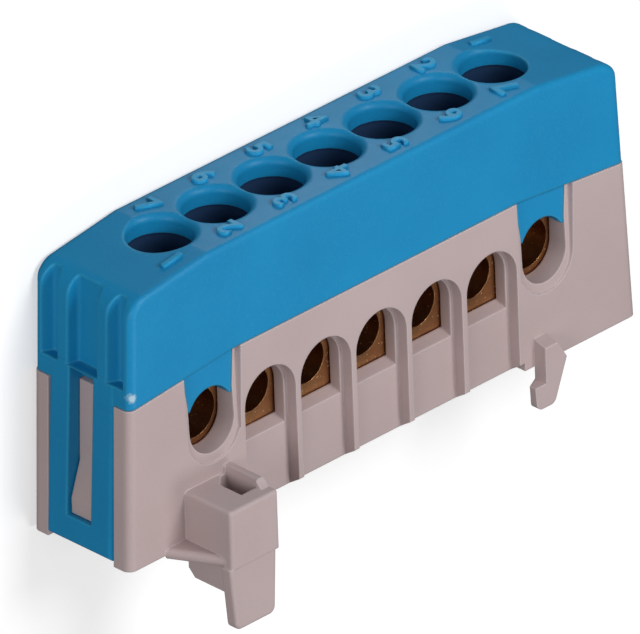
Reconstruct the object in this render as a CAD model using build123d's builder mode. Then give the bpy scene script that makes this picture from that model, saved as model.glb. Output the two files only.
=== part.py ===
# Neutral terminal bar for a 35 mm mounting rail: a brass bar with seven wire bores and seven
# clamp screws, carried in a moulded base that clips over the rail, under a push-on cover.
# Millimetres. X runs along the bar, the catch foot stands out of the front (-Y), +Z is up.
# The origin is on the base's underside, below the middle of the bar.

import os
from math import atan2, cos, radians, sin, tan

from build123d import *

os.makedirs("parts", exist_ok=True)

# Poles
small_pole_count = 5
pole_pitch = 6.5

# Overall form of the two mouldings
base_length = 59.7
base_depth = 11.6
cover_top_z = 26.15
split_z = 16.15
panel_length = 32.9
split_fall_deg = 5.4
end_draft_deg = 2.75
face_draft_deg = 0.1
corner_radius = 0.8
cover_inset = 0.06
fit_gap = 0.06

# Brass bar and its bores
bar_width = 6.8
bar_height = 10.0
bar_bottom_z = 5.8
bar_overhang = 4.0
bar_gap = 0.1
small_bore_z = 9.7
large_bore_z = 10.2
small_bore_radius = 2.05
large_bore_radius = 2.3
bar_edge_chamfer = 0.3

# Clamp screws
small_shank_radius = 1.7
large_shank_radius = 1.95
screw_running_gap = 0.05
screw_head_height = 2.2
screw_head_radius = 2.6
screw_travel = 3.0
screw_head_lift = 3.2
screw_tip_gap = 0.25
screw_tip_chamfer = 0.4
drive_slot_width = 0.9
drive_slot_depth = 1.2

# Cover top, wells and ribbed ends
well_rim_radius = 3.5
well_neck_radius = 2.93
well_radius = 3.0
well_lead_depth = 0.8
well_neck_depth = 1.8
top_flat_length = 38.6
top_fall_deg = 8.0
top_end_radius = 2.2
top_edge_radius = 0.5
cover_cavity_top_z = 18.6
sleeve_gap = 0.15
sleeve_bottom_z = 13.1
tab_bottom_z = 11.9
flute_offset_y = 3.9
flute_width = 2.0
flute_floor_width = 0.8
flute_rounding = 0.3
flute_depth = 1.1
flute_end_z = 16.8
valley_width = 3.5
valley_floor_width = 2.9
valley_depth = 1.15

# Snap tongues at both ends of the cover, and the wedges on the base that they catch
tongue_width = 7.7
tongue_thickness = 1.25
tongue_bottom_z = 0.5
tongue_proud = 0.3
tongue_edge_radius = 0.4
window_width = 2.9
window_bottom_z = 3.0
window_top_z = 16.7
wedge_width = 2.6
wedge_top_z = 8.2
wedge_knee_z = 4.45
wedge_reach = 1.15

# Base front and back walls
skin_thickness = 0.72
channel_depth = 1.15
rib_width = 0.58
small_entry_radius = 2.62
small_entry_z = 9.8
large_entry_radius = 2.57
large_entry_bottom_z = 7.3
large_entry_top_z = 13.3
large_entry_flare = 0.42
large_entry_flare_z = 12.4
entry_bottom_z = 6.05
entry_sill_rise = 0.55
rib_foot_rise = 0.75
recess_half_width = 3.05
recess_flare = 0.3
recess_top_depth = 0.62
recess_foot_depth = 0.2
recess_foot_z = 6.6
recess_bottom_z = 6.42
recess_corner_z = 8.4
core_wall = 1.4
core_roof = 1.4
core_rib = 1.1
core_radius = 0.5
core_draft_deg = 1.5

# Rail clip
rail_width = 35.0
rail_flange = 1.0
rail_play = 0.15
rail_centre_x = 0.16
catch_left_x = -23.25
catch_width = 5.6
catch_reach = 5.45
catch_top_z = 5.1
catch_step_z = -0.4
catch_bottom_z = -6.4
catch_back_z = -2.9
catch_wall = 1.1
catch_step = 0.35
catch_lip_reach = 1.0
catch_lip_tip = 0.6
catch_lip_length = 3.4
catch_slot_width = 1.85
catch_slot_length = 3.6
catch_slot_corner = 1.1
catch_slot_gap = 0.25
catch_rim_width = 0.9
catch_rim_height = 0.7
catch_rim_ramp = 0.8
catch_top_radius = 0.3
arm_left_x = -25.7
arm_thickness = 1.0
arm_edge_radius = 0.45
hook_reach = 1.3
hook_width = 2.5
hook_foot_width = 2.25
hook_bottom_z = -3.4
hook_proud = 1.35
hook_rib_width = 1.2
hook_rib_top_z = 2.65
hook_rib_fall = 0.45
hook_shoulder_z = 0.5
foot_edge_radius = 0.7

# Sizes that follow from the ones above
end_pole_x = (small_pole_count + 1) / 2 * pole_pitch
small_pole_xs = [(i - (small_pole_count - 1) / 2) * pole_pitch for i in range(small_pole_count)]
end_pole_xs = [-end_pole_x, end_pole_x]
pole_xs = [-end_pole_x] + small_pole_xs + [end_pole_x]
half_length = base_length / 2
half_depth = base_depth / 2
end_slope = tan(radians(end_draft_deg))
face_slope = tan(radians(face_draft_deg))
split_slope = tan(radians(split_fall_deg))
bar_length = 2 * (end_pole_x + bar_overhang)
bar_top_z = bar_bottom_z + bar_height
cavity_half_depth = bar_width / 2 + bar_gap
cavity_length = bar_length + 2 * bar_gap
rail_left_x = rail_centre_x - rail_width / 2
rail_right_x = rail_centre_x + rail_width / 2
large_entry_z = large_entry_bottom_z + large_entry_radius
recess_z = recess_bottom_z + recess_half_width
far = base_length


def half_length_at(z):
    return half_length - z * end_slope


def half_depth_at(z):
    return half_depth - z * face_slope


def split_height_at(x):
    """Height of the joint between base and cover: level over the panel, falling to the ends."""
    return split_z - max(0.0, abs(x) - panel_length / 2) * split_slope


def drafted_block(low_z, high_z, inset, radius):
    """A block with the mould's draft on its ends and faces, inset all round from the base's own skin."""
    with BuildPart() as block:
        for z in (low_z, high_z):
            with BuildSketch(Plane.XY.offset(z)):
                RectangleRounded(2 * (half_length_at(z) - inset), 2 * (half_depth_at(z) - inset), radius)
        loft()
    return block.part


def above_split(lift):
    """Everything above the joint line, raised by lift."""
    knee_x = panel_length / 2
    with BuildPart() as region:
        with BuildSketch(Plane.XZ):
            with BuildLine():
                Polyline(
                    (-far, split_height_at(far) + lift),
                    (-knee_x, split_z + lift),
                    (knee_x, split_z + lift),
                    (far, split_height_at(far) + lift),
                    (far, far),
                    (-far, far),
                    close=True,
                )
            make_face()
        extrude(amount=base_depth, both=True)
    return region.part


def arch(half_width, foot_z, centre_z):
    """A shape with a square foot and a half-round head."""
    with BuildSketch() as shape:
        with BuildLine():
            Polyline(
                (-half_width, centre_z),
                (-half_width, foot_z),
                (half_width, foot_z),
                (half_width, centre_z),
            )
            ThreePointArc((half_width, centre_z), (0, centre_z + half_width), (-half_width, centre_z))
        make_face()
    return shape.sketch_local


def round_foot(half_width, centre_z, top_z, flare):
    """A shape with a half-round foot, widening by flare on each side towards its top."""
    with BuildSketch() as shape:
        with BuildLine():
            Polyline(
                (-half_width, centre_z),
                (-half_width - flare, top_z),
                (half_width + flare, top_z),
                (half_width, centre_z),
            )
            ThreePointArc((half_width, centre_z), (0, centre_z - half_width), (-half_width, centre_z))
        make_face()
    return shape.sketch_local


def small_entry_cutter():
    """Arched channel in the front skin, and the arched wire opening in the channel's floor."""
    channel_y = half_depth - channel_depth
    sill_z = entry_bottom_z + entry_sill_rise
    with BuildPart() as cutter:
        with BuildSketch(Plane.XZ.offset(channel_y)):
            add(arch((pole_pitch - rib_width) / 2, -1.0, small_entry_z))
        extrude(amount=channel_depth + 1)
        with BuildSketch(Plane.XZ.offset(bar_width / 2)):
            add(arch(small_entry_radius, sill_z, small_entry_z))
        extrude(amount=channel_y - bar_width / 2 + 1)
        # The sill rises towards the bar
        with BuildSketch(Plane.YZ.offset(-small_entry_radius)):
            with BuildLine():
                Polyline(
                    (-channel_y - 1, sill_z),
                    (-channel_y - 1, entry_bottom_z),
                    (-channel_y, entry_bottom_z),
                    (-bar_width / 2, sill_z),
                    close=True,
                )
            make_face()
        extrude(amount=2 * small_entry_radius)
    return cutter.part


def rib_foot_cutter():
    """Slanting cut under the feet of the ribs between the small entries."""
    reach = small_pole_count * pole_pitch / 2 + rib_width / 2
    with BuildPart() as cutter:
        with BuildSketch(Plane.YZ.offset(-reach)):
            with BuildLine():
                Polyline(
                    (-half_depth + channel_depth, 0),
                    (-half_depth - channel_depth, 2 * rib_foot_rise),
                    (-half_depth - channel_depth, -1),
                    (-half_depth + channel_depth, -1),
                    close=True,
                )
            make_face()
        extrude(amount=2 * reach)
    return cutter.part


def end_recess_plane():
    """The leaning floor of the recess round an end entry: deep at the joint, shallow at the foot."""
    foot_y = half_depth_at(recess_foot_z) - recess_foot_depth
    top_y = half_depth_at(split_z) - recess_top_depth
    lean = atan2(foot_y - top_y, split_z - recess_foot_z)
    return Plane(origin=(0, -foot_y, recess_foot_z), x_dir=(1, 0, 0), z_dir=(0, -cos(lean), sin(lean)))


def end_entry_outline(gap, foot_z):
    """The upright sides of an end entry, flaring towards the joint, drawn in from the opening by gap."""
    half_width = large_entry_radius - gap
    with BuildSketch() as shape:
        with BuildLine():
            Polyline(
                (-half_width, foot_z),
                (-half_width, large_entry_flare_z),
                (-half_width - large_entry_flare, split_z),
                (half_width + large_entry_flare, split_z),
                (half_width, large_entry_flare_z),
                (half_width, foot_z),
                close=True,
            )
        make_face()
    return shape.sketch_local


def end_entry_cutter():
    """U-shaped slot for the thick wire through the front wall, and the recess round it."""
    with BuildPart() as cutter:
        with BuildSketch(Plane.XZ.offset(bar_width / 2)):
            add(end_entry_outline(0, large_entry_z))
            with Locations((0, large_entry_z)):
                Circle(large_entry_radius)
        extrude(amount=half_depth - bar_width / 2 + 1)
        with BuildSketch(end_recess_plane()):
            add(round_foot(recess_half_width, recess_z - recess_foot_z, split_z - recess_foot_z + 1, recess_flare))
        extrude(amount=half_depth / 2)
    return cutter.part


def recess_corner_cutter():
    """Square lower corner of the left front recess, on the side towards the small entries."""
    with BuildPart() as cutter:
        with BuildSketch(end_recess_plane()):
            with Locations((-end_pole_x, recess_corner_z - recess_foot_z)):
                Rectangle(recess_half_width, recess_z - recess_corner_z, align=(Align.MIN, Align.MIN))
        extrude(amount=half_depth / 2)
    return cutter.part


def end_layer(gap, low_z, high_z, low_out, high_out):
    """Side view of the layer at the right end that the tongue takes up, from the slot's floor outwards."""
    with BuildSketch() as shape:
        with BuildLine():
            Polyline(
                (half_length_at(low_z) - tongue_thickness - gap, low_z),
                (half_length_at(low_z) + low_out, low_z),
                (half_length_at(high_z) + high_out, high_z),
                (half_length_at(high_z) - tongue_thickness - gap, high_z),
                close=True,
            )
        make_face()
    return shape.sketch_local


def tongue_slot_cutter():
    """Slot down the right end of the base for the tongue, open at the foot."""
    with BuildPart() as cutter:
        with BuildSketch(Plane.XZ):
            add(end_layer(fit_gap, -1.0, split_z + 1, 1.0, 1.0))
        extrude(amount=tongue_width / 2 + fit_gap, both=True)
    return cutter.part


def catch_wedge():
    """Wedge on the floor of the right end's slot, which the window of the tongue snaps over."""
    floor_x = half_length_at(wedge_knee_z) - tongue_thickness - fit_gap
    with BuildPart() as wedge:
        with BuildSketch(Plane.XZ):
            with BuildLine():
                Polyline(
                    (floor_x - 1, window_bottom_z + fit_gap),
                    (floor_x + wedge_reach, window_bottom_z + fit_gap),
                    (floor_x + wedge_reach, wedge_knee_z),
                    (floor_x - (wedge_top_z - wedge_knee_z) * end_slope, wedge_top_z),
                    (floor_x - 1, wedge_top_z),
                    close=True,
                )
            make_face()
        extrude(amount=wedge_width / 2, both=True)
    return wedge.part


def core_pocket_cutter():
    """Pocket that cores out the base from below."""
    roof_z = entry_bottom_z - core_roof
    drawn_in = roof_z * tan(radians(core_draft_deg))
    length = pole_pitch - core_rib
    width = base_depth - 2 * (channel_depth + core_wall)
    with BuildPart() as pocket:
        with BuildSketch(Plane.XY):
            RectangleRounded(length, width, core_radius)
        with BuildSketch(Plane.XY.offset(roof_z)):
            RectangleRounded(length - 2 * drawn_in, width - 2 * drawn_in, core_radius)
        loft()
    return pocket.part


# Sprung catch foot on the front
def catch_block():
    """Solid outline of the block and the walls under it, before it is hollowed."""
    wall_y = -half_depth + skin_thickness
    front_y = -half_depth - catch_reach
    right_x = catch_left_x + catch_width
    with BuildPart() as block:
        with BuildSketch(Plane.XY.offset(catch_step_z)):
            with BuildLine():
                Polyline(
                    (catch_left_x, wall_y), (catch_left_x, front_y), (right_x, front_y), (right_x, wall_y), close=True
                )
            make_face()
        extrude(amount=catch_top_z - catch_step_z)
        fillet(block.edges().filter_by(Axis.Z).group_by(Axis.Y)[0], catch_step)
        upper = block.faces().sort_by(Axis.Z)[-1]
        fillet(upper.edges().sort_by(Axis.Y)[:-1], catch_top_radius)
        # Walls behind the leg, rising in a curve to the base
        with BuildSketch(Plane.YZ.offset(catch_left_x + catch_step / 2)):
            with BuildLine():
                Polyline(
                    (wall_y, catch_step_z),
                    (wall_y, catch_back_z / 2),
                    (wall_y + catch_back_z / 2, catch_back_z),
                    (front_y + catch_wall / 2, catch_back_z),
                    (front_y + catch_wall / 2, catch_step_z),
                    close=True,
                )
            make_face()
        extrude(amount=catch_width - 1.5 * catch_step)
    return block.part


def catch_leg():
    """Front plate of the catch, narrowing to its rounded foot: it is pulled to free the rail."""
    front_y = half_depth + catch_reach
    right_x = catch_left_x + catch_width - catch_step
    with BuildPart() as leg:
        with BuildSketch(Plane.XZ.offset(front_y - catch_wall)):
            with BuildLine():
                Polyline(
                    (catch_left_x - catch_step / 2, catch_step_z),
                    (catch_left_x + catch_step, catch_bottom_z),
                    (right_x - catch_step, catch_bottom_z),
                    (right_x, catch_step_z),
                    close=True,
                )
            make_face()
        extrude(amount=catch_wall - fit_gap)
        fillet(leg.edges().filter_by(Axis.Y).group_by(Axis.Z)[0], foot_edge_radius)
        fillet(leg.faces().sort_by(Axis.Y)[0].edges().sort_by(Axis.X)[0], catch_top_radius)
    return leg.part


def catch_lip():
    """Lip that grips under the left edge of the rail."""
    lip_top_z = -rail_flange - rail_play
    root_x = catch_left_x + catch_width - catch_step - catch_wall
    tip_x = rail_left_x + catch_lip_reach
    with BuildPart() as lip:
        with BuildSketch(Plane.XZ.offset(half_depth - skin_thickness)):
            with BuildLine():
                Polyline(
                    (root_x, lip_top_z),
                    (tip_x, lip_top_z),
                    (tip_x, lip_top_z - catch_lip_tip),
                    (root_x + catch_wall, catch_back_z),
                    (root_x, catch_back_z),
                    close=True,
                )
            make_face()
        extrude(amount=catch_lip_length + skin_thickness)
    return lip.part


def catch_rim():
    """Raised rim beside the screwdriver slot, with a short ramp down in front of it."""
    wall_y = -half_depth + skin_thickness
    knee_y = -half_depth - catch_slot_gap - catch_slot_length
    right_x = catch_left_x + catch_width - catch_step / 2
    with BuildPart() as rim:
        with BuildSketch(Plane.YZ.offset(right_x - catch_rim_width)):
            with BuildLine():
                Polyline(
                    (wall_y, catch_top_z - catch_wall),
                    (wall_y, catch_top_z + catch_rim_height),
                    (knee_y, catch_top_z + catch_rim_height),
                    (knee_y - catch_rim_ramp, catch_top_z - catch_step / 2),
                    (knee_y - catch_rim_ramp, catch_top_z - catch_wall),
                    close=True,
                )
            make_face()
        extrude(amount=catch_rim_width)
        fillet(rim.edges().filter_by(Axis.Y).group_by(Axis.Z)[-1], catch_step / 2)
    return rim.part


def catch_hollow():
    """Hollow of the catch, open below, and the screwdriver slot in its roof with one corner cut off."""
    back_y = -half_depth - catch_slot_gap
    front_y = -half_depth - catch_reach + catch_wall
    left_x = catch_left_x + catch_step / 2 + catch_wall
    right_x = catch_left_x + catch_width - catch_step - catch_wall
    slot_right_x = catch_left_x + catch_width - catch_rim_width
    slot_left_x = slot_right_x - catch_slot_width
    with BuildPart() as hollow:
        with BuildSketch(Plane.XY.offset(catch_back_z - 1)):
            with BuildLine():
                Polyline((left_x, back_y), (left_x, front_y), (right_x, front_y), (right_x, back_y), close=True)
            make_face()
        extrude(amount=catch_top_z - catch_wall - catch_back_z + 1)
        with BuildSketch(Plane.XY.offset(catch_top_z - 2 * catch_wall)):
            with BuildLine():
                Polyline(
                    (slot_right_x, back_y),
                    (slot_left_x + catch_slot_corner, back_y),
                    (slot_left_x, back_y - catch_slot_corner),
                    (slot_left_x, back_y - catch_slot_length),
                    (slot_right_x, back_y - catch_slot_length),
                    close=True,
                )
            make_face()
        extrude(amount=2 * catch_wall + 2 * catch_rim_height)
    return hollow.part


def catch_arm():
    """Plate with a rounded outer edge at the base's foot, which carries the catch and lets it spring."""
    wall_y = -half_depth + skin_thickness
    root_x = catch_left_x + catch_wall
    tip_y = -half_depth - catch_reach + catch_step
    with BuildPart() as arm:
        with BuildSketch(Plane.XY.offset(catch_step_z)):
            with BuildLine():
                Polyline(
                    (arm_left_x, wall_y),
                    (arm_left_x, -half_depth),
                    (catch_left_x + catch_step / 2, tip_y),
                    (root_x, tip_y),
                    (root_x, wall_y),
                    close=True,
                )
            make_face()
        extrude(amount=arm_thickness)
        outer = arm.faces().filter_by(lambda face: min(abs(face.normal_at().X), abs(face.normal_at().Y)) > 0.1)
        fillet(outer.edges().filter_by(Axis.Z, reverse=True), arm_edge_radius)
    return arm.part


# Fixed hook on the front
def fixed_hook():
    """Tapered foot with a lip under the right edge of the rail and a rib that meets that edge."""
    front_y = half_depth + hook_proud
    throat_z = -rail_flange - rail_play
    lip_x = rail_right_x - hook_reach
    right_x = rail_right_x + hook_width
    wall_y = -half_depth + skin_thickness
    with BuildPart() as hook:
        # Foot, lip and rib, seen from the front
        with BuildSketch(Plane.XZ.offset(-wall_y)):
            with BuildLine():
                Polyline(
                    (lip_x, throat_z),
                    (lip_x + foot_edge_radius / 4, hook_bottom_z),
                    (lip_x + hook_foot_width, hook_bottom_z),
                    (right_x, hook_shoulder_z),
                    (rail_right_x + hook_rib_width, hook_rib_top_z),
                    (rail_right_x, hook_rib_top_z),
                    (rail_right_x, throat_z),
                    close=True,
                )
            make_face()
        extrude(amount=front_y + wall_y)
        fillet(hook.edges().filter_by(Axis.Y).group_by(Axis.Z)[0], foot_edge_radius)
        # The rib's head falls towards the front
        with BuildSketch(Plane.YZ.offset(rail_right_x - 1)):
            with BuildLine():
                Polyline(
                    (-half_depth, hook_rib_top_z),
                    (-front_y, hook_rib_top_z - hook_rib_fall),
                    (-front_y, hook_rib_top_z + 1),
                    (-half_depth, hook_rib_top_z + 1),
                    close=True,
                )
            make_face()
        extrude(amount=hook_width + 1, mode=Mode.SUBTRACT)
        # The lip's back is cut away slantwise, as a lead-in for the rail
        with BuildSketch(Plane.XY.offset(hook_bottom_z - 1)):
            with BuildLine():
                Polyline(
                    (lip_x - 1, -front_y + hook_proud / 2),
                    (lip_x, -front_y + hook_proud / 2),
                    (rail_right_x, -half_depth),
                    (lip_x - 1, -half_depth),
                    close=True,
                )
            make_face()
        extrude(amount=-hook_bottom_z + 1, mode=Mode.SUBTRACT)
    return hook.part


# Base housing: one moulding with both rail feet
small_entry = small_entry_cutter()
end_entry = end_entry_cutter()
recess_corner = recess_corner_cutter()
rib_foot = rib_foot_cutter()
tongue_slot = tongue_slot_cutter()
wedge = catch_wedge()
core_pocket = core_pocket_cutter()
both_ends = [Location((0, 0, 0), (0, 0, turn)) for turn in (0, 180)]
small_faces = [Location((x, 0, 0), (0, 0, turn)) for x in small_pole_xs for turn in (0, 180)]
end_pole_faces = [Location((x, 0, 0), (0, 0, turn)) for x in end_pole_xs for turn in (0, 180)]

with BuildPart() as base_housing:
    add(drafted_block(0, split_z, 0, corner_radius))
    add(above_split(0), mode=Mode.SUBTRACT)
    # Space for the bar and the cover's sleeve
    with BuildSketch(Plane.XY.offset(bar_bottom_z)):
        Rectangle(cavity_length, 2 * cavity_half_depth)
    extrude(amount=split_z, mode=Mode.SUBTRACT)
    with BuildSketch(Plane.XY.offset(sleeve_bottom_z - fit_gap)):
        Rectangle(cavity_length + 2 * skin_thickness, 2 * (half_depth_at(split_z) - skin_thickness))
    extrude(amount=split_z, mode=Mode.SUBTRACT)
    # Wire entries, front and back
    with Locations(*small_faces):
        add(small_entry, mode=Mode.SUBTRACT)
    with Locations(*end_pole_faces):
        add(end_entry, mode=Mode.SUBTRACT)
    with Locations(*both_ends):
        add(recess_corner, mode=Mode.SUBTRACT)
        add(mirror(recess_corner, about=Plane.YZ, mode=Mode.PRIVATE), mode=Mode.SUBTRACT)
    # Rib feet, end slots and their wedges
    with Locations(*both_ends):
        add(rib_foot, mode=Mode.SUBTRACT)
        add(tongue_slot, mode=Mode.SUBTRACT)
        add(wedge)
    # Pockets from below leave a rib under each pole
    with GridLocations(pole_pitch, 1, len(pole_xs) + 1, 1):
        add(core_pocket, mode=Mode.SUBTRACT)
    # Rail clip
    add(catch_block())
    add(catch_leg())
    add(catch_lip())
    add(catch_rim())
    add(catch_arm())
    add(catch_hollow(), mode=Mode.SUBTRACT)
    add(fixed_hook())
    # Neither foot reaches under the rail seat
    with BuildSketch(Plane.XY.offset(catch_bottom_z)):
        Rectangle(base_length, base_depth)
    extrude(amount=-catch_bottom_z, mode=Mode.SUBTRACT)

base_housing.part.label = "base_housing"


# Cover
def top_region():
    """Everything below the cover's top line: level over the poles, falling to rounded ends."""
    knee_x = top_flat_length / 2
    end_x = half_length_at(cover_top_z) - cover_inset
    end_z = cover_top_z - (end_x - knee_x) * tan(radians(top_fall_deg))
    foot_x = half_length_at(0) - cover_inset
    with BuildPart() as region:
        with BuildSketch(Plane.XZ) as outline:
            with BuildLine():
                Polyline(
                    (-foot_x, 0),
                    (-end_x, end_z),
                    (-knee_x, cover_top_z),
                    (knee_x, cover_top_z),
                    (end_x, end_z),
                    (foot_x, 0),
                    close=True,
                )
            make_face()
            end_corners = [corner for corner in outline.vertices() if abs(abs(corner.X) - end_x) < 0.01]
            fillet(end_corners, top_end_radius)
        extrude(amount=base_depth, both=True)
    return region.part


def well_cutter():
    """Screw well: rounded lead-in at the rim, a short neck, and the wider well below it."""
    lead_foot_z = cover_top_z - well_lead_depth
    bulge = 0.3 * (well_rim_radius - well_neck_radius)
    with BuildPart() as well:
        with BuildSketch(Plane.XZ):
            with BuildLine():
                Polyline(
                    (well_rim_radius, cover_top_z),
                    (well_rim_radius, cover_top_z + 1),
                    (0, cover_top_z + 1),
                    (0, cover_cavity_top_z - 1),
                    (well_radius, cover_cavity_top_z - 1),
                    (well_radius, cover_top_z - well_neck_depth),
                    (well_neck_radius, cover_top_z - well_neck_depth),
                    (well_neck_radius, lead_foot_z),
                )
                ThreePointArc(
                    (well_neck_radius, lead_foot_z),
                    (
                        (well_rim_radius + well_neck_radius) / 2 - bulge,
                        cover_top_z - well_lead_depth / 2 + bulge,
                    ),
                    (well_rim_radius, cover_top_z),
                )
            make_face()
        revolve(axis=Axis.Z)
    return well.part


def groove_points(face_x, middle_y, width, floor_width, depth):
    """The corners of one upright groove in the right end, seen from above."""
    return [
        (face_x, middle_y - width / 2),
        (face_x - depth, middle_y - floor_width / 2),
        (face_x - depth, middle_y + floor_width / 2),
        (face_x, middle_y + width / 2),
    ]


def flute_cutter():
    """Two flutes and the valley between them up the right end of the cover, all with rounded corners."""
    face_x = half_length_at(flute_end_z) - cover_inset
    points = [(face_x + 1, -base_depth), (face_x, -base_depth)]
    points += groove_points(face_x, -flute_offset_y, flute_width, flute_floor_width, flute_depth)
    points += groove_points(face_x, 0, valley_width, valley_floor_width, valley_depth)
    points += groove_points(face_x, flute_offset_y, flute_width, flute_floor_width, flute_depth)
    points += [(face_x, base_depth), (face_x + 1, base_depth)]
    with BuildPart() as flutes:
        with BuildSketch(Plane.XY.offset(flute_end_z)) as outline:
            with BuildLine():
                Polyline(*points, close=True)
            make_face()
            groove_corners = [corner for corner in outline.vertices() if abs(corner.Y) < base_depth / 2]
            fillet(groove_corners, flute_rounding)
        extrude(amount=cover_top_z - flute_end_z, dir=(-end_slope, 0, 1))
    return flutes.part


def tongue():
    """Snap tongue at the right end, a little proud of the cover's skin at its foot."""
    with BuildPart() as strip:
        with BuildSketch(Plane.XZ):
            add(end_layer(0, tongue_bottom_z, split_z + 1, tongue_proud, -cover_inset))
        extrude(amount=tongue_width / 2, both=True)
        outer = strip.faces().sort_by(Axis.X)[-1]
        foot = outer.edges().filter_by(Axis.Y).sort_by(Axis.Z)[0]
        fillet(outer.edges().filter_by(Axis.Y, reverse=True) + foot, tongue_edge_radius)
    return strip.part


def window_cutter():
    """Window through the right tongue, from just above its foot up into the cover's end valley."""
    with BuildPart() as window:
        with BuildSketch(Plane.YZ.offset(half_length - 2 * tongue_thickness)):
            with Locations((0, (window_bottom_z + window_top_z) / 2)):
                Rectangle(window_width, window_top_z - window_bottom_z)
        extrude(amount=3 * tongue_thickness)
    return window.part


def end_tab():
    """Tab that fills the top of an end entry, arched over the thick wire's bore."""
    arch_z = large_entry_top_z - large_entry_radius
    with BuildPart() as tab:
        with BuildSketch(Plane.XZ.offset(cavity_half_depth + sleeve_gap)):
            add(end_entry_outline(fit_gap, tab_bottom_z))
            with Locations((0, arch_z)):
                Circle(large_entry_radius, mode=Mode.SUBTRACT)
        extrude(amount=half_depth)
        with BuildSketch(end_recess_plane().offset(-fit_gap)):
            Rectangle(4 * pole_pitch, 4 * pole_pitch)
        extrude(amount=half_depth, mode=Mode.SUBTRACT)
    return tab.part


def joint_cutter():
    """Everything below the joint but the sleeve that stands inside the base's skin."""
    sleeve_length = cavity_length + 2 * skin_thickness - 2 * fit_gap
    sleeve_depth = 2 * (half_depth_at(split_z) - skin_thickness - fit_gap)
    with BuildPart() as region:
        with BuildSketch(Plane.XY.offset(-1)):
            Rectangle(2 * far, far)
        extrude(amount=split_z + 2)
        add(above_split(fit_gap), mode=Mode.SUBTRACT)
        with BuildSketch(Plane.XY.offset(sleeve_bottom_z)):
            Rectangle(sleeve_length, sleeve_depth)
        extrude(amount=split_z, mode=Mode.SUBTRACT)
    return region.part


snap_tongue = tongue()
entry_tab = end_tab()
screw_well = well_cutter()
flutes = flute_cutter()
window = window_cutter()

with BuildPart() as cover:
    add(drafted_block(sleeve_bottom_z, cover_top_z, cover_inset, corner_radius))
    add(top_region(), mode=Mode.INTERSECT)
    rim_y = half_depth_at(cover_top_z) - cover_inset
    rim_edges = cover.edges().filter_by(
        lambda edge: edge.center().Z > cover_top_z - 2.5
        and abs(edge.center().Y) > rim_y - 0.1
        and edge.bounding_box().size.X > 0.5
    )
    fillet(rim_edges, top_edge_radius)
    add(joint_cutter(), mode=Mode.SUBTRACT)
    with Locations(*both_ends):
        add(snap_tongue)
    with Locations(*end_pole_faces):
        add(entry_tab)
    # Room for the bar and the screws
    with BuildSketch(Plane.XY.offset(tab_bottom_z - 1)):
        Rectangle(cavity_length + 2 * sleeve_gap, 2 * (cavity_half_depth + sleeve_gap))
    extrude(amount=cover_cavity_top_z - tab_bottom_z + 1, mode=Mode.SUBTRACT)
    for x in pole_xs:
        with Locations((x, 0, 0)):
            add(screw_well, mode=Mode.SUBTRACT)
    # Ribbed ends with the windows of the tongues
    with Locations(*both_ends):
        add(flutes, mode=Mode.SUBTRACT)
        add(window, mode=Mode.SUBTRACT)

cover.part.label = "cover"

# Brass bar: wire bores through it from front to back, screw holes down into each bore
with BuildPart() as terminal_bar:
    with BuildSketch(Plane.XY.offset(bar_bottom_z)):
        Rectangle(bar_length, bar_width)
    extrude(amount=bar_height)
    chamfer(terminal_bar.edges().filter_by(Axis.X), bar_edge_chamfer)
    with BuildSketch(Plane.XZ.offset(-bar_width)):
        with Locations(*[(x, small_bore_z) for x in small_pole_xs]):
            Circle(small_bore_radius)
        with Locations(*[(x, large_bore_z) for x in end_pole_xs]):
            Circle(large_bore_radius)
    extrude(amount=2 * bar_width, mode=Mode.SUBTRACT)
    with BuildSketch(Plane.XY.offset(small_bore_z)):
        with Locations(*[(x, 0) for x in small_pole_xs]):
            Circle(small_shank_radius + screw_running_gap)
        with Locations(*[(x, 0) for x in end_pole_xs]):
            Circle(large_shank_radius + screw_running_gap)
    extrude(amount=bar_height, mode=Mode.SUBTRACT)

terminal_bar.part.label = "terminal_bar"


# Clamp screws: a slotted cheese head on a plain shank, backed off from the bar
def clamp_screw(x, shank_radius, bore_z, bore_radius):
    """A screw at x whose tip stands just above the roof of its wire bore."""
    tip_z = bore_z + bore_radius + screw_tip_gap
    head_z = bar_top_z + screw_head_lift
    with BuildPart() as screw:
        with BuildSketch(Plane.XY.offset(tip_z)):
            with Locations((x, 0)):
                Circle(shank_radius)
        extrude(amount=head_z - tip_z)
        chamfer(screw.faces().sort_by(Axis.Z)[0].edges(), screw_tip_chamfer)
        with BuildSketch(Plane.XY.offset(head_z)):
            with Locations((x, 0)):
                Circle(screw_head_radius)
        extrude(amount=screw_head_height)
        chamfer(screw.faces().sort_by(Axis.Z)[-1].edges(), screw_tip_chamfer / 2)
        with BuildSketch(Plane.XY.offset(head_z + screw_head_height - drive_slot_depth)):
            with Locations((x, 0)):
                Rectangle(drive_slot_width, 3 * screw_head_radius)
        extrude(amount=drive_slot_depth, mode=Mode.SUBTRACT)
    return screw.part


screws = []
for number, x in enumerate(pole_xs, start=1):
    if x in end_pole_xs:
        screw = clamp_screw(x, large_shank_radius, large_bore_z, large_bore_radius)
    else:
        screw = clamp_screw(x, small_shank_radius, small_bore_z, small_bore_radius)
    screw.label = f"clamp_screw_{number}"
    screws.append(screw)

for piece in [base_housing.part, cover.part, terminal_bar.part] + screws:
    export_step(piece, f"parts/{piece.label}.step")
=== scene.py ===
# %% [markdown]
# # A neutral terminal bar, dressed in Blender
# The bar is a row of screw terminals for a distribution board: a drilled brass bar in a warm grey
# moulded base, under a blue push-on cover. This lesson adds the camera, the light, the finishes
# and the raised numbers. Millimetres are easier to think in than metres at this size, so `mm`
# turns one into the other.

import math

import bpy
from mathutils import Matrix, Vector


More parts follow.
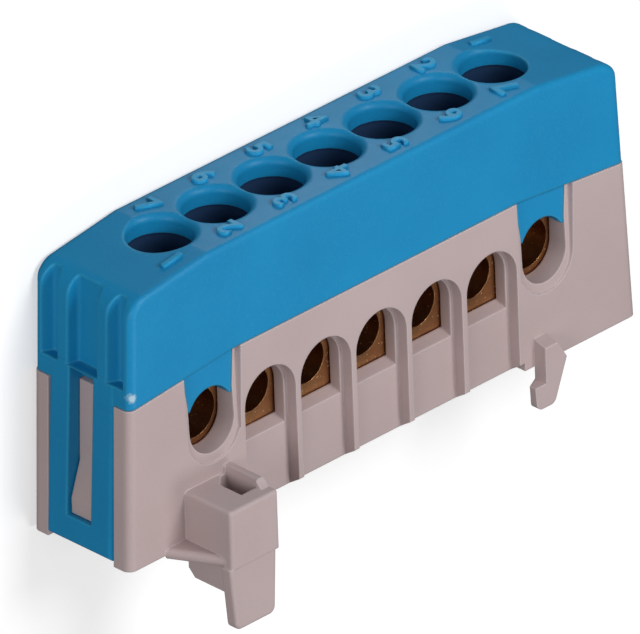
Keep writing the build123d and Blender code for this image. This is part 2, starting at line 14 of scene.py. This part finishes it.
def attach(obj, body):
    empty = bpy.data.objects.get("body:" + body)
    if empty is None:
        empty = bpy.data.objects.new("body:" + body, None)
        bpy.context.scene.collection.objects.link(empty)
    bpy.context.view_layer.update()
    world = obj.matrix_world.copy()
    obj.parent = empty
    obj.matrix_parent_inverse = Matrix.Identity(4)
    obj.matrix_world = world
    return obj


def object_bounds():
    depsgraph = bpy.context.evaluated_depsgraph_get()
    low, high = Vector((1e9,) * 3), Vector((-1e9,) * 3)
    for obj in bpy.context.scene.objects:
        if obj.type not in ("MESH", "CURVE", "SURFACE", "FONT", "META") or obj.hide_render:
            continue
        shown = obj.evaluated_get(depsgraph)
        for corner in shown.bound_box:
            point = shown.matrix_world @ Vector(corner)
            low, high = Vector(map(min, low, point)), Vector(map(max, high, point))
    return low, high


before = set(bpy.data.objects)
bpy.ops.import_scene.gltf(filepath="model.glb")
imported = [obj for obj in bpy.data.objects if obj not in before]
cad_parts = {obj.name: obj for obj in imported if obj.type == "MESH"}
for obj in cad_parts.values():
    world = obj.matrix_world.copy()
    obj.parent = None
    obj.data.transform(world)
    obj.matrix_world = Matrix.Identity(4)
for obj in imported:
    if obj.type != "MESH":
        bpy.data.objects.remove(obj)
cad_low, cad_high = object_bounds()
mm = 0.001
white = (1, 1, 1, 1)
print("CAD nodes:", sorted(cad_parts))
print("CAD box in mm:", [round(v / mm, 2) for v in cad_high - cad_low])

# %% [markdown]
# ## Camera
# The photograph is nearly parallel: the far end of the bar is hardly smaller than the near one. That
# means a long lens from far away. The camera looks down by 29.3 degrees onto the bar's left end and
# front, and is tilted sideways by two degrees. Its place is worked out from those angles, and the
# frame is moved sideways and down by moving the camera itself, so that no lens shift is needed.

# %% Place the camera
azimuth, elevation, roll = math.radians(-43.5), math.radians(29.31), math.radians(-2.06)
camera_distance = 2.35
pixels_per_metre = 11962.0
image_width = 640
target = Vector((-0.3, -0.15, 12)) * mm
shift_left, shift_down = 0.911 * mm, 1.655 * mm

to_camera = Vector(
    (
        math.sin(azimuth) * math.cos(elevation),
        -math.cos(azimuth) * math.cos(elevation),
        math.sin(elevation),
    )
)
level = Vector((math.cos(azimuth), math.sin(azimuth), 0))
upright = to_camera.cross(level)
camera_right = math.cos(roll) * level + math.sin(roll) * upright
camera_up = -math.sin(roll) * level + math.cos(roll) * upright
frame_centre = target - shift_left * camera_right - shift_down * camera_up

camera_data = bpy.data.cameras.new("camera")
camera_data.sensor_width = 36
camera_data.lens = pixels_per_metre * camera_distance * camera_data.sensor_width / image_width
camera_data.clip_start = 0.5
camera_data.clip_end = 20
camera = bpy.data.objects.new("camera", camera_data)
turn = Matrix((camera_right, camera_up, to_camera)).transposed()
camera.matrix_world = Matrix.Translation(frame_centre + camera_distance * to_camera) @ turn.to_4x4()
bpy.context.collection.objects.link(camera)
bpy.context.scene.camera = camera
print("lens in mm:", round(camera_data.lens), "distance in m:", camera_distance)

# %% [markdown]
# ## A small language for shader maths
# Materials here are built from node graphs. Writing each Math node by hand hides the idea, so a tiny
# class wraps a socket and lets ordinary expressions such as `0.4 + 0.1 * grain` add the nodes. The
# reflected operators make `0.2 - 0.1 * mask` work too.


# %% Sockets that can be calculated with
class Wire:
    """A shader socket that can be added, multiplied and so on."""

    def __init__(self, tree, socket):
        self.tree = tree
        self.socket = socket

    def math(self, operation, *values):
        """Adds a Math node whose first value is this socket."""
        new = self.tree.nodes.new("ShaderNodeMath")
        new.operation = operation
        for index, value in enumerate((self,) + values):
            put(self.tree, new.inputs[index], value)
        return Wire(self.tree, new.outputs[0])

    def __add__(self, other):
        return self.math("ADD", other)

    def __radd__(self, other):
        return self.math("ADD", other)

    def __mul__(self, other):
        return self.math("MULTIPLY", other)

    def __rmul__(self, other):
        return self.math("MULTIPLY", other)

    def __sub__(self, other):
        return self.math("SUBTRACT", other)

    def __rsub__(self, other):
        return (self * -1.0) + other


def put(tree, socket, value):
    """Gives a socket a value or links another socket to it."""
    if isinstance(value, Wire):
        tree.links.new(value.socket, socket)
    else:
        socket.default_value = value


print("sockets can be calculated with")

# %% [markdown]
# ## Every other node from one method
# A `Graph` is a node tree that is being built, for a material or for the world. Its method `node` takes
# a node's type, its settings and the values or links for its sockets. A `Finish` is the graph of one
# material. It knows the place of each point on the object, and has short names for the few nodes that
# every finish needs: noise, blends, stretched values, bumps and softened edges.


# %% Graphs and finishes
class Graph:
    """A node tree that is being built."""

    def __init__(self, tree):
        self.tree = tree

    def node(self, kind, settings=None, inputs=None, output=0):
        """Adds a node and returns one of its outputs, or the node itself if output is None."""
        new = self.tree.nodes.new(kind)
        for key, value in (settings or {}).items():
            setattr(new, key, value)
        for key, value in (inputs or {}).items():
            put(self.tree, new.inputs[key], value)
        return new if output is None else Wire(self.tree, new.outputs[output])


class Finish(Graph):
    """A material under construction: one principled shader and the nodes that feed it."""

    def __init__(self, name):
        self.material = bpy.data.materials.new(name)
        self.material.use_nodes = True
        super().__init__(self.material.node_tree)
        self.shader = self.tree.nodes["Principled BSDF"]
        self.place = self.node("ShaderNodeTexCoord", output="Object")

    def noise(self, scale, detail=2.0, roughness=0.5):
        """Cloudy noise from 0 to 1; scale is in lumps per metre."""
        return self.node(
            "ShaderNodeTexNoise",
            inputs={"Vector": self.place, "Scale": scale, "Detail": detail, "Roughness": roughness},
        )

    def blend(self, mask, first, second):
        """A colour that goes from first to second as mask goes from 0 to 1."""
        mask_socket, first_socket, second_socket, colour_output = 0, 6, 7, 2
        return self.node(
            "ShaderNodeMix",
            settings={"data_type": "RGBA"},
            inputs={mask_socket: mask, first_socket: first, second_socket: second},
            output=colour_output,
        )

    def fit(self, value, low, high, new_low, new_high):
        """Stretches a value from one span to another and stops at its ends."""
        return self.node(
            "ShaderNodeMapRange",
            inputs={
                "Value": value,
                "From Min": low,
                "From Max": high,
                "To Min": new_low,
                "To Max": new_high,
            },
        )

    def compare(self, operation, first, second):
        """A number got from two vectors, such as their distance or their dot product."""
        return self.node(
            "ShaderNodeVectorMath",
            settings={"operation": operation},
            inputs={0: first, 1: second},
            output="Value",
        )

    def bump(self, height, distance, normal):
        """A bump on top of a normal: height from 0 to 1 stands for distance in metres."""
        return self.node(
            "ShaderNodeBump",
            inputs={"Height": height, "Distance": distance, "Strength": 1.0, "Normal": normal},
        )

    def soft_edges(self, radius):
        """The normal with every sharp edge rounded by radius."""
        return self.node("ShaderNodeBevel", settings={"samples": 6}, inputs={"Radius": radius})

    def wear(self, **inputs):
        """Feeds the principled shader's sockets; underscores stand for spaces."""
        for key, value in inputs.items():
            put(self.tree, self.shader.inputs[key.replace("_", " ")], value)


print("graphs and finishes can be built")

# %% [markdown]
# ## Moulded plastics
# Both mouldings come out of spark-eroded tools, which leave a fine even grain, a few tenths of a
# millimetre from lump to lump. Plastic is never one flat colour either: it varies a little where the
# melt flowed, and the grain breaks the shine up. The edges of a moulding are rounded by a tenth or
# two, which catches the light, so the normals are bent round each edge with a Bevel node. Where that
# bent normal leaves the true one, the point lies on an edge, and a paler colour is painted there: a
# painted highlight along every edge.

# %% Recipe for a moulded plastic
flow_scale, patch_scale, grain_scale = 90, 700, 5200
grain_height = 0.012 * mm
speckle_share = 0.35
# How far the bent normal turns where the painted edge highlight starts and is full, and how strongly it
# is painted.
edge_highlight_start, edge_highlight_full, edge_highlight_share = 0.998, 0.9, 0.55
plastic_specular = 0.22


def moulded(name, colour, pale, shade, painted_edge_highlight, roughness, edge, marks=()):
    """A fine-grained moulded plastic; marks are pairs of a mask function and the colour it brings."""
    finish = Finish(name)
    flow = finish.noise(flow_scale, detail=3)
    grain = finish.noise(grain_scale, detail=3, roughness=0.6)
    patches = finish.noise(patch_scale)
    tone = finish.blend(finish.fit(flow, 0.3, 0.7, 0, 1), colour, shade)
    tone = finish.blend(finish.fit(grain, 0.52, 0.8, 0, speckle_share), tone, pale)
    rounded = finish.soft_edges(edge)
    true_normal = finish.node("ShaderNodeNewGeometry", output="Normal")
    likeness = finish.compare("DOT_PRODUCT", rounded, true_normal)
    # Painted highlight: a paler colour along the edges, where the bevelled normal leaves the true one.
    tone = finish.blend(finish.fit(likeness, edge_highlight_start, edge_highlight_full, 0, edge_highlight_share), tone, painted_edge_highlight)
    for mask, mark_colour in marks:
        tone = finish.blend(mask(finish), tone, mark_colour)
    finish.wear(
        Base_Color=tone,
        Roughness=roughness + 0.12 * patches - 0.06,
        Normal=finish.bump(0.75 * grain + 0.25 * patches, grain_height, rounded),
        Specular_IOR_Level=plastic_specular,
    )
    return finish.material


print("recipe for moulded plastics ready")

# %% [markdown]
# ## Painted shade and a scuff on the cover
# Little light gets down the seven screw wells, so their inside below the neck is painted nearly black:
# this is painted shade. A mask finds them: the distance along the row is folded back and forth over one
# pole pitch, which makes all seven wells one, and what lies within a well's reach of the axis and below
# the neck is taken. The cover's lower front corner is scuffed, and a ragged round mask whitens it.

# %% Masks for the wells and the scuff
pole_pitch = 6.5 * mm
pole_count = 7
well_reach = 3.4 * mm
well_neck_level = 24.45 * mm
# The colour of the painted shade inside the wells below their necks.
well_painted_shade = (0.02, 0.05, 0.12, 1)

scuff_centre = Vector((-28.55, -5.45, 16.2)) * mm
scuff_radius = 0.75 * mm
scuff_colour = (0.55, 0.72, 0.8, 1)


def inside_wells(finish):
    """1 inside the screw wells below their necks, 0 elsewhere."""
    split = finish.node("ShaderNodeSeparateXYZ", inputs={"Vector": finish.place}, output=None)
    x, y, z = (Wire(finish.tree, socket) for socket in split.outputs)
    along = x.math("PINGPONG", pole_pitch / 2)
    near_row = x.math("ABSOLUTE").math("LESS_THAN", pole_count * pole_pitch / 2)
    near_axis = (along * along + y * y).math("LESS_THAN", well_reach**2)
    return near_row * near_axis * z.math("LESS_THAN", well_neck_level)


def corner_scuff(finish):
    """A ragged pale scuff on the cover's lower front corner."""
    apart = finish.compare("DISTANCE", finish.place, scuff_centre)
    ragged = finish.noise(1800, detail=3, roughness=0.7)
    return finish.fit(apart * (1 / scuff_radius) + 1.3 * ragged, 0.95, 1.35, 0.85, 0)


print("wells and scuff can be masked")

# %% [markdown]
# ## Blue plastics
# The plastics differ only in their colours, roughness and edges. The raised numbers are moulded with
# the cover; their blue is painted a little paler, a painted highlight for their tops, which catch more
# light. Every colour is written as linear red, green and blue, from 0 to 1.

# %% Blue cover and numbers
cover_blue = moulded(
    "moulded_blue",
    colour=(0.011, 0.285, 0.575, 1),
    pale=(0.045, 0.36, 0.65, 1),
    shade=(0.01, 0.25, 0.52, 1),
    # The pale colour of the painted highlight along the edges.
    painted_edge_highlight=(0.05, 0.47, 0.78, 1),
    roughness=0.4,
    edge=0.38 * mm,
    # The wells get painted shade, and the lower front corner gets a scuff.
    marks=((inside_wells, well_painted_shade), (corner_scuff, scuff_colour)),
)
# The numbers' paler blue is a painted highlight on their tops, with a brighter painted edge highlight.
number_blue_painted_highlight = moulded(
    "moulded_blue_numbers_painted_highlight",
    colour=(0.03, 0.38, 0.7, 1),
    pale=(0.08, 0.45, 0.75, 1),
    shade=(0.02, 0.33, 0.62, 1),
    painted_edge_highlight=(0.2, 0.7, 0.95, 1),
    roughness=0.36,
    edge=0.08 * mm,
)
for material in (cover_blue, number_blue_painted_highlight):
    print(material.name, len(material.node_tree.nodes), "nodes")

# %% [markdown]
# ## Warm grey plastic
# The base is a warm light grey with a trace of red in it. It is rougher than the cover, so that its
# faces look nearly matt, and it has no marks of its own.

# %% Warm grey base
housing_grey = moulded(
    "moulded_warm_grey",
    colour=(0.55, 0.44, 0.438, 1),
    pale=(0.62, 0.51, 0.505, 1),
    shade=(0.505, 0.4, 0.395, 1),
    # The pale colour of the painted highlight along the edges.
    painted_edge_highlight=(0.78, 0.67, 0.68, 1),
    roughness=0.55,
    edge=0.22 * mm,
)
print(housing_grey.name, len(housing_grey.node_tree.nodes), "nodes")

# %% [markdown]
# ## Metals
# The bar is drawn brass, cut to length and drilled, and its bores show turning rings and bright burrs.
# It sits in shade inside the base, so what the eye sees is a dark golden brown with bright specks.
# The screws are plated steel, duller and greyer.

# %% Brass and steel
metal_edge = 0.08 * mm
burr_start, burr_full = 0.69, 0.74


def machined(name, colour, dark, burr, roughness, scratch):
    """A bare metal with turning marks of depth scratch, dark clouds and small bright burrs."""
    finish = Finish(name)
    cloud = finish.noise(420, detail=4)
    rings = finish.noise(2600, detail=4, roughness=0.7)
    burrs = finish.noise(3600, detail=1)
    tone = finish.blend(finish.fit(cloud, 0.35, 0.7, 0, 1), colour, dark)
    tone = finish.blend(finish.fit(burrs, burr_start, burr_full, 0, 1), tone, burr)
    finish.wear(
        Base_Color=tone,
        Metallic=1.0,
        Roughness=roughness + 0.2 * cloud - 0.1,
        Normal=finish.bump(rings, scratch, finish.soft_edges(metal_edge)),
    )
    return finish.material


bar_brass = machined(
    "drilled_brass",
    colour=(0.55, 0.28, 0.12, 1),
    dark=(0.32, 0.14, 0.06, 1),
    burr=(1.0, 0.72, 0.4, 1),
    roughness=0.32,
    scratch=0.03 * mm,
)
screw_steel = machined(
    "plated_steel",
    colour=(0.5, 0.49, 0.45, 1),
    dark=(0.32, 0.31, 0.28, 1),
    burr=(0.7, 0.69, 0.66, 1),
    roughness=0.38,
    scratch=0.01 * mm,
)
for material in (bar_brass, screw_steel):
    print(material.name, len(material.node_tree.nodes), "nodes")

# %% [markdown]
# ## Finishes on the CAD pieces
# Three pieces have a finish of their own, and the seven screws share the steel.

# %% Give the CAD pieces their finishes
finish_of = {"base_housing": housing_grey, "cover": cover_blue, "terminal_bar": bar_brass}
for name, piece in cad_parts.items():
    for slot in piece.material_slots:
        slot.material = finish_of.get(name, screw_steel)
print("finished", len(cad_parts), "CAD pieces")

# %% [markdown]
# ## Raised numbers
# Each well has its number moulded beside it twice: once along the front, read from the right end, and
# once along the back, read from the left end. A number is a text object, given a little depth, made a
# mesh, and sunk slightly into the cover's top so that no gap shows. Over the two end wells the top
# already falls away, so those numbers are tilted with it.

# %% Numbers beside the wells
top_level = cad_high.z
flat_half = 19.3 * mm
top_fall = math.radians(8)

number_height = 2.05 * mm
number_rise = 0.28 * mm
number_bevel = 0.07 * mm
number_boldness = 0.04 * mm
digit_share = 0.7  # of the font size, which is what a digit is high
raised_share = 0.3  # of the rise, which is how far a digit's middle stands above the top


def raised_number(digit, x, y, heading):
    """One digit standing on the cover's top at x, y, with its own up pointing along heading."""
    bpy.ops.object.select_all(action="DESELECT")
    bpy.ops.object.text_add()
    text = bpy.context.object.data
    text.body = str(digit)
    text.size = number_height / digit_share
    text.align_x = "CENTER"
    text.align_y = "CENTER"
    text.extrude = number_rise / 2
    text.bevel_depth = number_bevel
    text.bevel_resolution = 2
    text.offset = number_boldness
    bpy.ops.object.convert(target="MESH")
    number = bpy.context.object
    beyond = max(0.0, abs(x) - flat_half)
    lean = math.copysign(top_fall, x) if beyond > 0 else 0.0
    level_here = top_level - beyond * math.tan(top_fall)
    number.data.transform(
        Matrix.Translation((x, y, level_here + raised_share * number_rise))
        @ Matrix.Rotation(lean, 4, "Y")
        @ Matrix.Rotation(heading, 4, "Z")
    )
    number.data.materials.clear()
    number.data.materials.append(number_blue_painted_highlight)
    return number


beside_well, beside_row = 2.25 * mm, 3.9 * mm
quarter_turn = math.radians(90)
for digit in range(1, pole_count + 1):
    pole_x = (digit - (pole_count + 1) / 2) * pole_pitch
    front = raised_number(digit, pole_x - beside_well, -beside_row, quarter_turn)
    front.name = f"front_number_{digit}"
    back = raised_number(digit, -pole_x + beside_well, beside_row, -quarter_turn)
    back.name = f"back_number_{digit}"
    for number in (front, back):
        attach(number, "housing")

# %% [markdown]
# ## Lamps
# The front of the bar is its brightest side, the top is darker and the left end darkest. A soft round
# lamp stands high in front of the bar and does most of the work. A weaker one, low in front, fills the
# front from below and throws the card's shadow upwards, and a third one lights the left end. A tiny lamp
# close behind the right end brightens the top there. Nearby lamps need little power.

# %% Lamps
scene = bpy.context.scene
scene.view_settings.view_transform = "Standard"


def soft_lamp(name, direction, distance, size, power):
    """A round area lamp that looks at the object from a direction; power is in watts."""
    data = bpy.data.lights.new(name, "AREA")
    data.shape = "DISK"
    data.size = size
    data.energy = power
    lamp = bpy.data.objects.new(name, data)
    away = Vector(direction).normalized()
    lamp.location = target + distance * away
    lamp.rotation_mode = "QUATERNION"
    lamp.rotation_quaternion = away.to_track_quat("Z", "Y")
    bpy.context.collection.objects.link(lamp)
    return lamp


lamps = [
    soft_lamp("high_lamp", direction=(0.1, -0.8, 0.55), distance=0.24, size=0.12, power=0.3),
    soft_lamp("left_lamp", direction=(-0.9, -0.35, 0.2), distance=0.4, size=0.25, power=0.54),
    soft_lamp("low_lamp", direction=(0.17, -0.93, -0.3), distance=0.4, size=0.14, power=0.3),
    soft_lamp("top_lamp", direction=(0.5, 0.5, 0.7), distance=0.09, size=0.04, power=0.011),
]
print("lamps:", [lamp.name for lamp in lamps])

# %% [markdown]
# ## World
# An even white world fills the shade. A Light Path node makes it plain white where the camera looks
# straight at it, without any more light on the bar. Mirrored in the plastic it is dimmer, because the
# photograph's plastics show hardly any haze.

# %% World
world_level = 0.19
mirror_dimming = 0.1

world = bpy.data.worlds.new("surround")
scene.world = world
world.use_nodes = True
sky = Graph(world.node_tree)
sky.tree.nodes.clear()
rays = sky.node("ShaderNodeLightPath", output=None)
looked_at = Wire(sky.tree, rays.outputs["Is Camera Ray"])
mirrored = Wire(sky.tree, rays.outputs["Is Glossy Ray"])
lighting = sky.node(
    "ShaderNodeBackground",
    inputs={"Color": white, "Strength": world_level - mirror_dimming * mirrored},
)
seen = sky.node("ShaderNodeBackground", inputs={"Color": white, "Strength": 1.0})
either = sky.node("ShaderNodeMixShader", inputs={0: looked_at, 1: lighting, 2: seen})
sky.node("ShaderNodeOutputWorld", inputs={"Surface": either}, output=None)
print("world:", world.name, "at level", world_level)

# %% [markdown]
# ## White card
# The bar lies with its back on a white card, which takes a soft shadow along the left end and the top.
# The card glows a little, so that it comes out white where nothing shades it. Only the camera sees it,
# so it sends no light back onto the bar, and from behind it is clear.

# %% White card behind the object
card_width = 1.2
card_gap = 0.1 * mm
card_y = cad_high.y + card_gap
paper_level = 0.74
glow_level = 0.465

bpy.ops.object.select_all(action="DESELECT")
bpy.ops.mesh.primitive_plane_add(size=card_width)
card = bpy.context.object
card.name = "backdrop_card"
card.data.transform(Matrix.Translation((0, card_y, 0)) @ Matrix.Rotation(quarter_turn, 4, "X"))
card_material = bpy.data.materials.new("white_card")
card_material.use_nodes = True
sheet = Graph(card_material.node_tree)
sheet.tree.nodes.clear()
paper_colour = (paper_level, paper_level, paper_level, 1)
paper = sheet.node("ShaderNodeBsdfDiffuse", inputs={"Color": paper_colour})
glow = sheet.node("ShaderNodeEmission", inputs={"Color": white, "Strength": glow_level})
lit_paper = sheet.node("ShaderNodeAddShader", inputs={0: paper, 1: glow})
clear = sheet.node("ShaderNodeBsdfTransparent")
from_behind = sheet.node("ShaderNodeNewGeometry", output="Backfacing")
either = sheet.node("ShaderNodeMixShader", inputs={0: from_behind, 1: lit_paper, 2: clear})
sheet.node("ShaderNodeOutputMaterial", inputs={"Surface": either}, output=None)
card.data.materials.append(card_material)
for ray_switch in ("visible_diffuse", "visible_glossy", "visible_transmission", "visible_shadow"):
    setattr(card, ray_switch, False)
print("card at y =", round(card_y / mm, 2), "mm")
